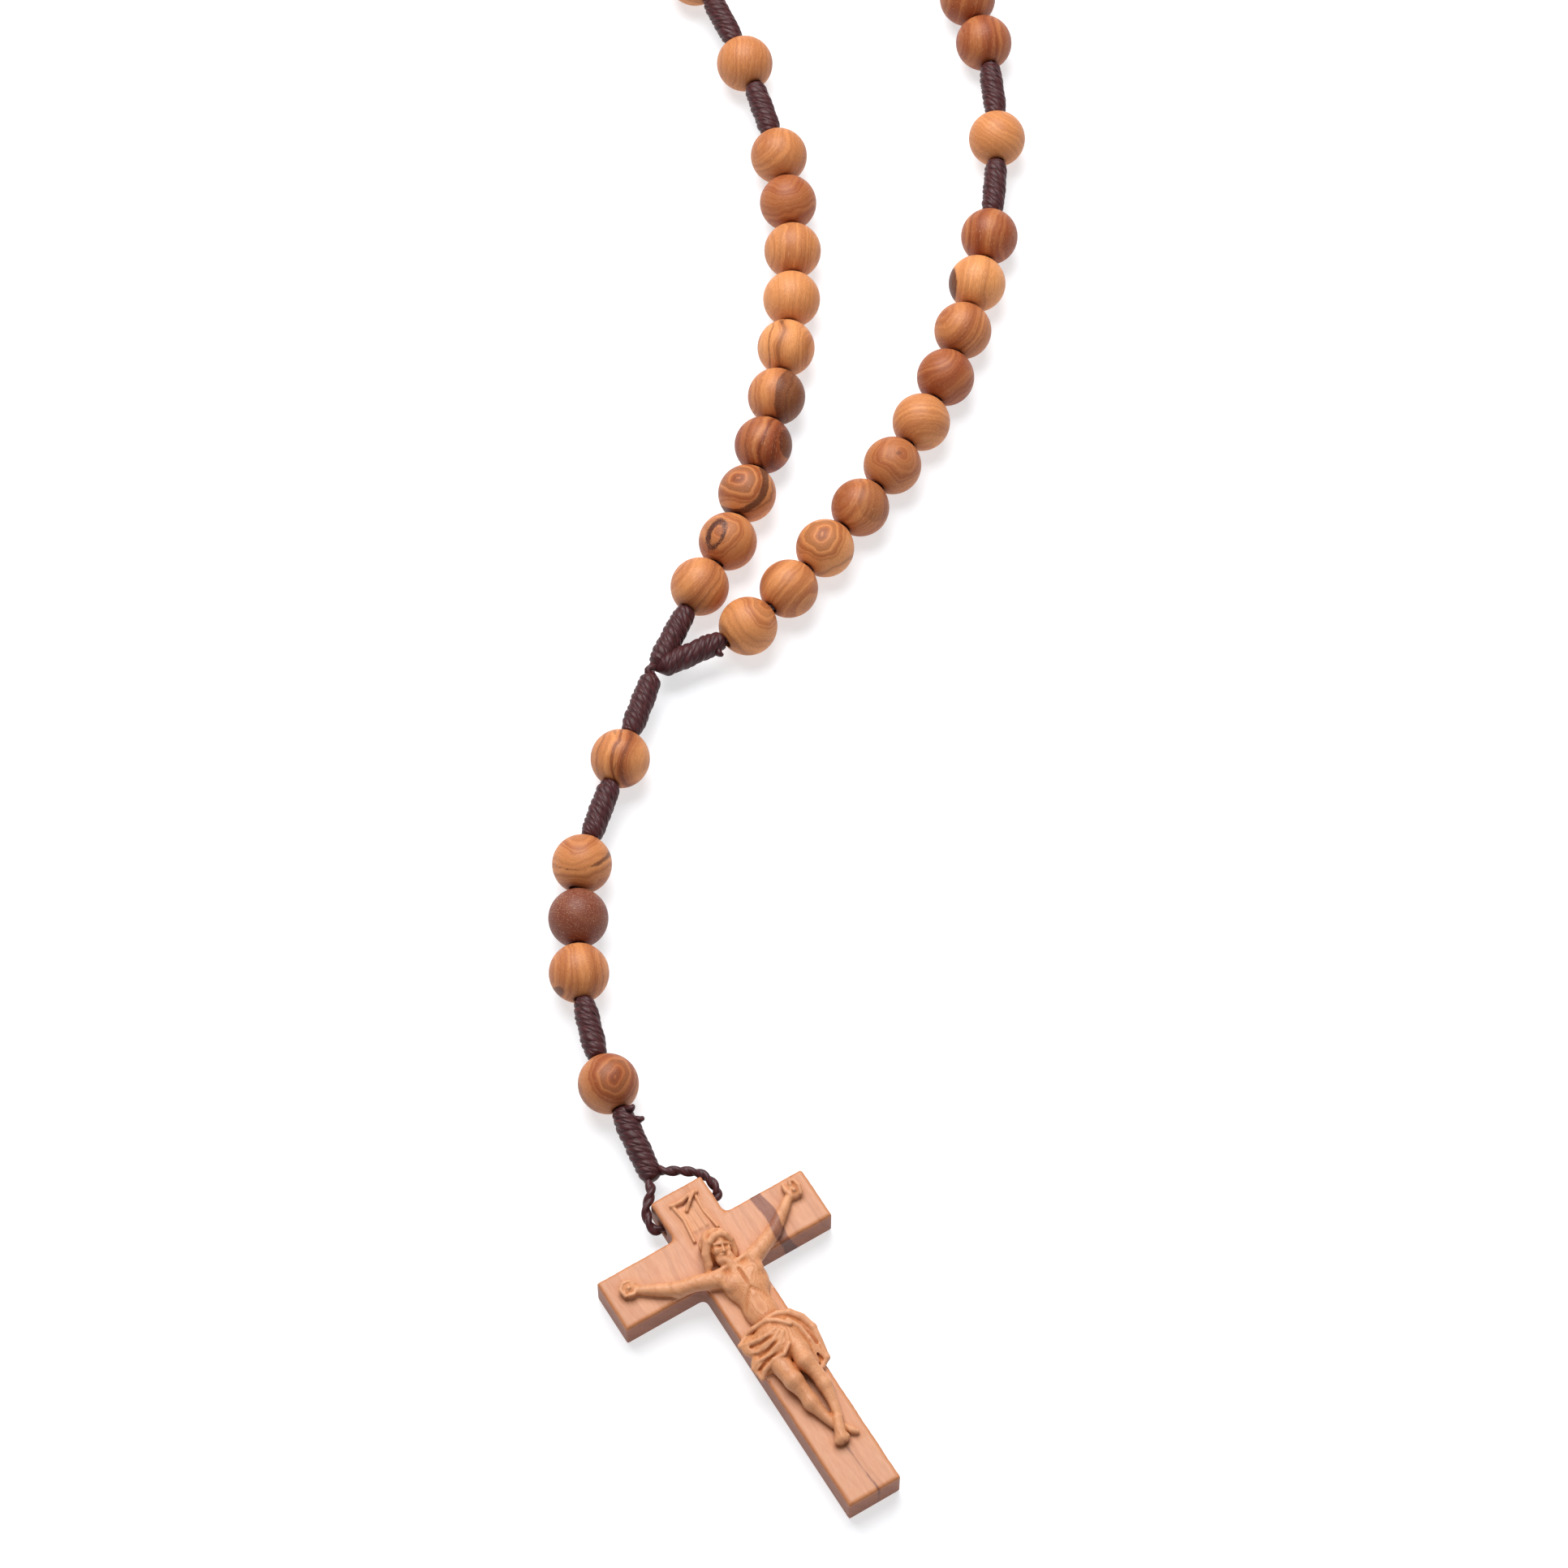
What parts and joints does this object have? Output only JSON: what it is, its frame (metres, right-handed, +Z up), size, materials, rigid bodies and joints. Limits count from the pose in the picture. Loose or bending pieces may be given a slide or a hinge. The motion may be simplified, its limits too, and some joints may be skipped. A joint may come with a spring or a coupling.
{
  "type": "rosary",
  "caption": "Knotted-cord rosary of turned wooden beads, with a ring of decades, a short pendant and a carved wooden crucifix that turns on its cord loop.",
  "frame": {"origin": "on the table, under the middle of the bounding box of the rosary as it lies", "axes": "+Z up from the table, +Y along the rosary from the foot of the crucifix to the far end of the ring, +X to the right of the pendant seen from above with the crucifix nearest"},
  "size_m": [0.0808, 0.3492, 0.008],
  "materials": {
    "bead_wood": "turned olive wood, sanded and lightly waxed to a satin",
    "crucifix_wood": "carved olive wood, flat faces pale and matte, carving waxed to a golden satin",
    "cord": "tightly twisted dark brown nylon cord with a satin thread sheen"
  },
  "bodies": {
    "junction": {"junction_knots": "cord", "ring_cord_right": "cord"},
    "crucifix": {"crucifix": "crucifix_wood"},
    "crucifix_loop": {"crucifix_loop": "cord"},
    "pendant_lower": {"pendant_cord_lower": "cord"},
    "pendant_middle": {"pendant_cord_middle": "cord"},
    "pendant_upper": {"pendant_cord_upper": "cord"},
    "left_strand": {"ring_cord_left": "cord"},
    "ring_top": {"ring_cord_top": "cord", "decade_3_beads": "bead_wood"},
    "right_arc": {"ring_cord_right_arc": "cord"},
    "decade_1_bead_01": {"decade_1_bead_01": "bead_wood"},
    "decade_1_bead_02": {"decade_1_bead_02": "bead_wood"},
    "decade_1_bead_03": {"decade_1_bead_03": "bead_wood"},
    "decade_1_bead_04": {"decade_1_bead_04": "bead_wood"},
    "decade_1_bead_05": {"decade_1_bead_05": "bead_wood"},
    "decade_1_bead_06": {"decade_1_bead_06": "bead_wood"},
    "decade_1_bead_07": {"decade_1_bead_07": "bead_wood"},
    "decade_1_bead_08": {"decade_1_bead_08": "bead_wood"},
    "decade_1_bead_09": {"decade_1_bead_09": "bead_wood"},
    "decade_1_bead_10": {"decade_1_bead_10": "bead_wood"},
    "decade_2_bead_01": {"decade_2_bead_01": "bead_wood"},
    "decade_2_bead_02": {"decade_2_bead_02": "bead_wood"},
    "decade_2_bead_03": {"decade_2_bead_03": "bead_wood"},
    "decade_2_bead_04": {"decade_2_bead_04": "bead_wood"},
    "decade_2_bead_05": {"decade_2_bead_05": "bead_wood"},
    "decade_2_bead_06": {"decade_2_bead_06": "bead_wood"},
    "decade_2_bead_07": {"decade_2_bead_07": "bead_wood"},
    "decade_2_bead_08": {"decade_2_bead_08": "bead_wood"},
    "decade_2_bead_09": {"decade_2_bead_09": "bead_wood"},
    "decade_2_bead_10": {"decade_2_bead_10": "bead_wood"},
    "decade_4_bead_01": {"decade_4_bead_01": "bead_wood"},
    "decade_4_bead_02": {"decade_4_bead_02": "bead_wood"},
    "decade_4_bead_03": {"decade_4_bead_03": "bead_wood"},
    "decade_4_bead_04": {"decade_4_bead_04": "bead_wood"},
    "decade_4_bead_05": {"decade_4_bead_05": "bead_wood"},
    "decade_4_bead_06": {"decade_4_bead_06": "bead_wood"},
    "decade_4_bead_07": {"decade_4_bead_07": "bead_wood"},
    "decade_4_bead_08": {"decade_4_bead_08": "bead_wood"},
    "decade_4_bead_09": {"decade_4_bead_09": "bead_wood"},
    "decade_4_bead_10": {"decade_4_bead_10": "bead_wood"},
    "decade_5_bead_01": {"decade_5_bead_01": "bead_wood"},
    "decade_5_bead_02": {"decade_5_bead_02": "bead_wood"},
    "decade_5_bead_03": {"decade_5_bead_03": "bead_wood"},
    "decade_5_bead_04": {"decade_5_bead_04": "bead_wood"},
    "decade_5_bead_05": {"decade_5_bead_05": "bead_wood"},
    "decade_5_bead_06": {"decade_5_bead_06": "bead_wood"},
    "decade_5_bead_07": {"decade_5_bead_07": "bead_wood"},
    "decade_5_bead_08": {"decade_5_bead_08": "bead_wood"},
    "decade_5_bead_09": {"decade_5_bead_09": "bead_wood"},
    "decade_5_bead_10": {"decade_5_bead_10": "bead_wood"},
    "pendant_lower_bead": {"pendant_lower_bead": "bead_wood"},
    "pendant_trio_bead_1": {"pendant_trio_bead_1": "bead_wood"},
    "pendant_trio_bead_2": {"pendant_trio_bead_2": "bead_wood"},
    "pendant_trio_bead_3": {"pendant_trio_bead_3": "bead_wood"},
    "pendant_upper_bead": {"pendant_upper_bead": "bead_wood"},
    "single_bead_1": {"single_bead_1": "bead_wood"},
    "single_bead_2": {"single_bead_2": "bead_wood"},
    "single_bead_3": {"single_bead_3": "bead_wood"},
    "single_bead_4": {"single_bead_4": "bead_wood"}
  },
  "joints": [
    {"name": "crucifix_flip", "type": "hinge", "parent": "crucifix_loop", "child": "crucifix", "pos_m": [-0.0071, -0.13351, 0.0024], "axis": [-0.8526, -0.5225, 0], "range_deg": [0, 110]},
    {"name": "crucifix_swing", "type": "hinge", "parent": "pendant_lower", "child": "crucifix_loop", "pos_m": [-0.0122, -0.12744, 0.00303], "axis": [0, 0, 1], "range_deg": [-30, 30]},
    {"name": "pendant_bend", "type": "hinge", "parent": "pendant_middle", "child": "pendant_lower", "pos_m": [-0.01935, -0.11046, 0.00401], "axis": [0, 0, 1], "range_deg": [-45, 45]},
    {"name": "pendant_lift", "type": "hinge", "parent": "pendant_upper", "child": "pendant_middle", "pos_m": [-0.02, -0.07806, 0.004], "axis": [-0.9639, 0.2663, 0], "range_deg": [0, 85]},
    {"name": "pendant_swing", "type": "hinge", "parent": "junction", "child": "pendant_upper", "pos_m": [-0.01219, -0.05391, 0.004], "axis": [0, 0, 1], "range_deg": [-40, 40]},
    {"name": "ring_open", "type": "hinge", "parent": "junction", "child": "left_strand", "pos_m": [-0.00841, -0.04568, 0.004], "axis": [0, 0, 1], "range_deg": [0, 40]},
    {"name": "ring_open_right", "type": "hinge", "parent": "junction", "child": "right_arc", "pos_m": [0.03501, 0.04409, 0.004], "axis": [0, 0, 1], "range_deg": [0, 40]},
    {"name": "ring_open_top", "type": "hinge", "parent": "left_strand", "child": "ring_top", "pos_m": [-0.00458, 0.05622, 0.004], "axis": [0, 0, 1], "range_deg": [-40, 0]},
    {"name": "turn_pendant_lower_bead", "type": "hinge", "parent": "pendant_lower", "child": "pendant_lower_bead", "pos_m": [-0.0175, -0.11563, 0.004], "axis": [0.3731, -0.9278, 0], "continuous": true},
    {"name": "turn_pendant_trio_bead_3", "type": "hinge", "parent": "pendant_middle", "child": "pendant_trio_bead_3", "pos_m": [-0.0216, -0.09952, 0.004], "axis": [0.0844, -0.9964, 0], "continuous": true},
    {"name": "turn_pendant_trio_bead_2", "type": "hinge", "parent": "pendant_middle", "child": "pendant_trio_bead_2", "pos_m": [-0.02182, -0.09143, 0.004], "axis": [0.0239, -0.9997, 0], "continuous": true},
    {"name": "turn_pendant_trio_bead_1", "type": "hinge", "parent": "pendant_middle", "child": "pendant_trio_bead_1", "pos_m": [-0.02146, -0.08335, 0.004], "axis": [-0.1898, -0.9818, 0], "continuous": true},
    {"name": "turn_pendant_upper_bead", "type": "hinge", "parent": "pendant_upper", "child": "pendant_upper_bead", "pos_m": [-0.01658, -0.0674, 0.004], "axis": [-0.3119, -0.9501, 0], "continuous": true},
    {"name": "turn_decade_1_bead_01", "type": "hinge", "parent": "left_strand", "child": "decade_1_bead_01", "pos_m": [-0.00609, -0.04071, 0.004], "axis": [0.445, 0.8955, 0], "continuous": true},
    {"name": "turn_decade_1_bead_02", "type": "hinge", "parent": "left_strand", "child": "decade_1_bead_02", "pos_m": [-0.00229, -0.03357, 0.004], "axis": [0.3729, 0.9279, 0], "continuous": true},
    {"name": "turn_decade_1_bead_03", "type": "hinge", "parent": "left_strand", "child": "decade_1_bead_03", "pos_m": [0.00033, -0.02591, 0.004], "axis": [0.2981, 0.9545, 0], "continuous": true},
    {"name": "turn_decade_1_bead_04", "type": "hinge", "parent": "left_strand", "child": "decade_1_bead_04", "pos_m": [0.00256, -0.01812, 0.004], "axis": [0.2487, 0.9686, 0], "continuous": true},
    {"name": "turn_decade_1_bead_05", "type": "hinge", "parent": "left_strand", "child": "decade_1_bead_05", "pos_m": [0.00437, -0.01023, 0.004], "axis": [0.1974, 0.9803, 0], "continuous": true},
    {"name": "turn_decade_1_bead_06", "type": "hinge", "parent": "left_strand", "child": "decade_1_bead_06", "pos_m": [0.0057, -0.00224, 0.004], "axis": [0.1271, 0.9919, 0], "continuous": true},
    {"name": "turn_decade_1_bead_07", "type": "hinge", "parent": "left_strand", "child": "decade_1_bead_07", "pos_m": [0.00647, 0.00582, 0.004], "axis": [0.0618, 0.9981, 0], "continuous": true},
    {"name": "turn_decade_1_bead_08", "type": "hinge", "parent": "left_strand", "child": "decade_1_bead_08", "pos_m": [0.00662, 0.01392, 0.004], "axis": [-0.0309, 0.9995, 0], "continuous": true},
    {"name": "turn_decade_1_bead_09", "type": "hinge", "parent": "left_strand", "child": "decade_1_bead_09", "pos_m": [0.00599, 0.02199, 0.004], "axis": [-0.1206, 0.9927, 0], "continuous": true},
    {"name": "turn_decade_1_bead_10", "type": "hinge", "parent": "left_strand", "child": "decade_1_bead_10", "pos_m": [0.00468, 0.02998, 0.004], "axis": [-0.2046, 0.9789, 0], "continuous": true},
    {"name": "turn_decade_2_bead_01", "type": "hinge", "parent": "ring_top", "child": "decade_2_bead_01", "pos_m": [-0.00742, 0.06092, 0.004], "axis": [-0.5294, 0.8484, 0], "continuous": true},
    {"name": "turn_decade_2_bead_02", "type": "hinge", "parent": "ring_top", "child": "decade_2_bead_02", "pos_m": [-0.01182, 0.06772, 0.004], "axis": [-0.553, 0.8332, 0], "continuous": true},
    {"name": "turn_decade_2_bead_03", "type": "hinge", "parent": "ring_top", "child": "decade_2_bead_03", "pos_m": [-0.01632, 0.07445, 0.004], "axis": [-0.5547, 0.8321, 0], "continuous": true},
    {"name": "turn_decade_2_bead_04", "type": "hinge", "parent": "ring_top", "child": "decade_2_bead_04", "pos_m": [-0.02075, 0.08123, 0.004], "axis": [-0.5358, 0.8444, 0], "continuous": true},
    {"name": "turn_decade_2_bead_05", "type": "hinge", "parent": "ring_top", "child": "decade_2_bead_05", "pos_m": [-0.02495, 0.08816, 0.004], "axis": [-0.4966, 0.868, 0], "continuous": true},
    {"name": "turn_decade_2_bead_06", "type": "hinge", "parent": "ring_top", "child": "decade_2_bead_06", "pos_m": [-0.02874, 0.09532, 0.004], "axis": [-0.437, 0.8995, 0], "continuous": true},
    {"name": "turn_decade_2_bead_07", "type": "hinge", "parent": "ring_top", "child": "decade_2_bead_07", "pos_m": [-0.03197, 0.10274, 0.004], "axis": [-0.3565, 0.9343, 0], "continuous": true},
    {"name": "turn_decade_2_bead_08", "type": "hinge", "parent": "ring_top", "child": "decade_2_bead_08", "pos_m": [-0.03447, 0.11044, 0.004], "axis": [-0.2552, 0.9669, 0], "continuous": true},
    {"name": "turn_decade_2_bead_09", "type": "hinge", "parent": "ring_top", "child": "decade_2_bead_09", "pos_m": [-0.03606, 0.11838, 0.004], "axis": [-0.1338, 0.991, 0], "continuous": true},
    {"name": "turn_decade_2_bead_10", "type": "hinge", "parent": "ring_top", "child": "decade_2_bead_10", "pos_m": [-0.03659, 0.12646, 0.004], "axis": [0.0055, 1, 0], "continuous": true},
    {"name": "turn_decade_4_bead_01", "type": "hinge", "parent": "right_arc", "child": "decade_4_bead_01", "pos_m": [0.03411, 0.0495, 0.004], "axis": [-0.2176, 0.976, 0], "continuous": true},
    {"name": "turn_decade_4_bead_02", "type": "hinge", "parent": "right_arc", "child": "decade_4_bead_02", "pos_m": [0.03189, 0.05729, 0.004], "axis": [-0.3141, 0.9494, 0], "continuous": true},
    {"name": "turn_decade_4_bead_03", "type": "hinge", "parent": "right_arc", "child": "decade_4_bead_03", "pos_m": [0.02922, 0.06494, 0.004], "axis": [-0.3342, 0.9425, 0], "continuous": true},
    {"name": "turn_decade_4_bead_04", "type": "hinge", "parent": "right_arc", "child": "decade_4_bead_04", "pos_m": [0.02663, 0.07261, 0.004], "axis": [-0.2945, 0.9557, 0], "continuous": true},
    {"name": "turn_decade_4_bead_05", "type": "hinge", "parent": "right_arc", "child": "decade_4_bead_05", "pos_m": [0.02456, 0.08044, 0.004], "axis": [-0.2085, 0.978, 0], "continuous": true},
    {"name": "turn_decade_4_bead_06", "type": "hinge", "parent": "right_arc", "child": "decade_4_bead_06", "pos_m": [0.02334, 0.08844, 0.004], "axis": [-0.0899, 0.996, 0], "continuous": true},
    {"name": "turn_decade_4_bead_07", "type": "hinge", "parent": "right_arc", "child": "decade_4_bead_07", "pos_m": [0.02315, 0.09653, 0.004], "axis": [0.0453, 0.999, 0], "continuous": true},
    {"name": "turn_decade_4_bead_08", "type": "hinge", "parent": "right_arc", "child": "decade_4_bead_08", "pos_m": [0.02407, 0.10458, 0.004], "axis": [0.1789, 0.9839, 0], "continuous": true},
    {"name": "turn_decade_4_bead_09", "type": "hinge", "parent": "right_arc", "child": "decade_4_bead_09", "pos_m": [0.026, 0.11244, 0.004], "axis": [0.2935, 0.956, 0], "continuous": true},
    {"name": "turn_decade_4_bead_10", "type": "hinge", "parent": "right_arc", "child": "decade_4_bead_10", "pos_m": [0.02873, 0.12006, 0.004], "axis": [0.3741, 0.9274, 0], "continuous": true},
    {"name": "turn_decade_5_bead_01", "type": "hinge", "parent": "junction", "child": "decade_5_bead_01", "pos_m": [0.00052, -0.04692, 0.004], "axis": [0.7698, 0.6383, 0], "continuous": true},
    {"name": "turn_decade_5_bead_02", "type": "hinge", "parent": "junction", "child": "decade_5_bead_02", "pos_m": [0.00607, -0.04104, 0.004], "axis": [0.6285, 0.7778, 0], "continuous": true},
    {"name": "turn_decade_5_bead_03", "type": "hinge", "parent": "junction", "child": "decade_5_bead_03", "pos_m": [0.01103, -0.03463, 0.004], "axis": [0.6121, 0.7908, 0], "continuous": true},
    {"name": "turn_decade_5_bead_04", "type": "hinge", "parent": "junction", "child": "decade_5_bead_04", "pos_m": [0.01589, -0.02815, 0.004], "axis": [0.5801, 0.8145, 0], "continuous": true},
    {"name": "turn_decade_5_bead_05", "type": "hinge", "parent": "junction", "child": "decade_5_bead_05", "pos_m": [0.02036, -0.0214, 0.004], "axis": [0.5246, 0.8513, 0], "continuous": true},
    {"name": "turn_decade_5_bead_06", "type": "hinge", "parent": "junction", "child": "decade_5_bead_06", "pos_m": [0.02443, -0.0144, 0.004], "axis": [0.4722, 0.8815, 0], "continuous": true},
    {"name": "turn_decade_5_bead_07", "type": "hinge", "parent": "junction", "child": "decade_5_bead_07", "pos_m": [0.02789, -0.00708, 0.004], "axis": [0.3694, 0.9293, 0], "continuous": true},
    {"name": "turn_decade_5_bead_08", "type": "hinge", "parent": "junction", "child": "decade_5_bead_08", "pos_m": [0.0304, 0.00062, 0.004], "axis": [0.2712, 0.9625, 0], "continuous": true},
    {"name": "turn_decade_5_bead_09", "type": "hinge", "parent": "junction", "child": "decade_5_bead_09", "pos_m": [0.03251, 0.00844, 0.004], "axis": [0.2747, 0.9615, 0], "continuous": true},
    {"name": "turn_decade_5_bead_10", "type": "hinge", "parent": "junction", "child": "decade_5_bead_10", "pos_m": [0.03436, 0.01631, 0.004], "axis": [0.1365, 0.9906, 0], "continuous": true},
    {"name": "turn_single_bead_1", "type": "hinge", "parent": "left_strand", "child": "single_bead_1", "pos_m": [-0.00021, 0.04591, 0.004], "axis": [-0.3558, 0.9346, 0], "continuous": true},
    {"name": "turn_single_bead_2", "type": "hinge", "parent": "ring_top", "child": "single_bead_2", "pos_m": [-0.03384, 0.14283, 0.004], "axis": [0.3309, 0.9437, 0], "continuous": true},
    {"name": "turn_single_bead_3", "type": "hinge", "parent": "right_arc", "child": "single_bead_3", "pos_m": [0.03538, 0.13536, 0.004], "axis": [0.3794, 0.9252, 0], "continuous": true},
    {"name": "turn_single_bead_4", "type": "hinge", "parent": "junction", "child": "single_bead_4", "pos_m": [0.03572, 0.03292, 0.004], "axis": [-0.004, 1, 0], "continuous": true}
  ],
  "couplings": [
    {"joint": "ring_open_top", "follows": "ring_open", "ratio": -1},
    {"joint": "ring_open_right", "follows": "ring_open", "ratio": 1}
  ]
}
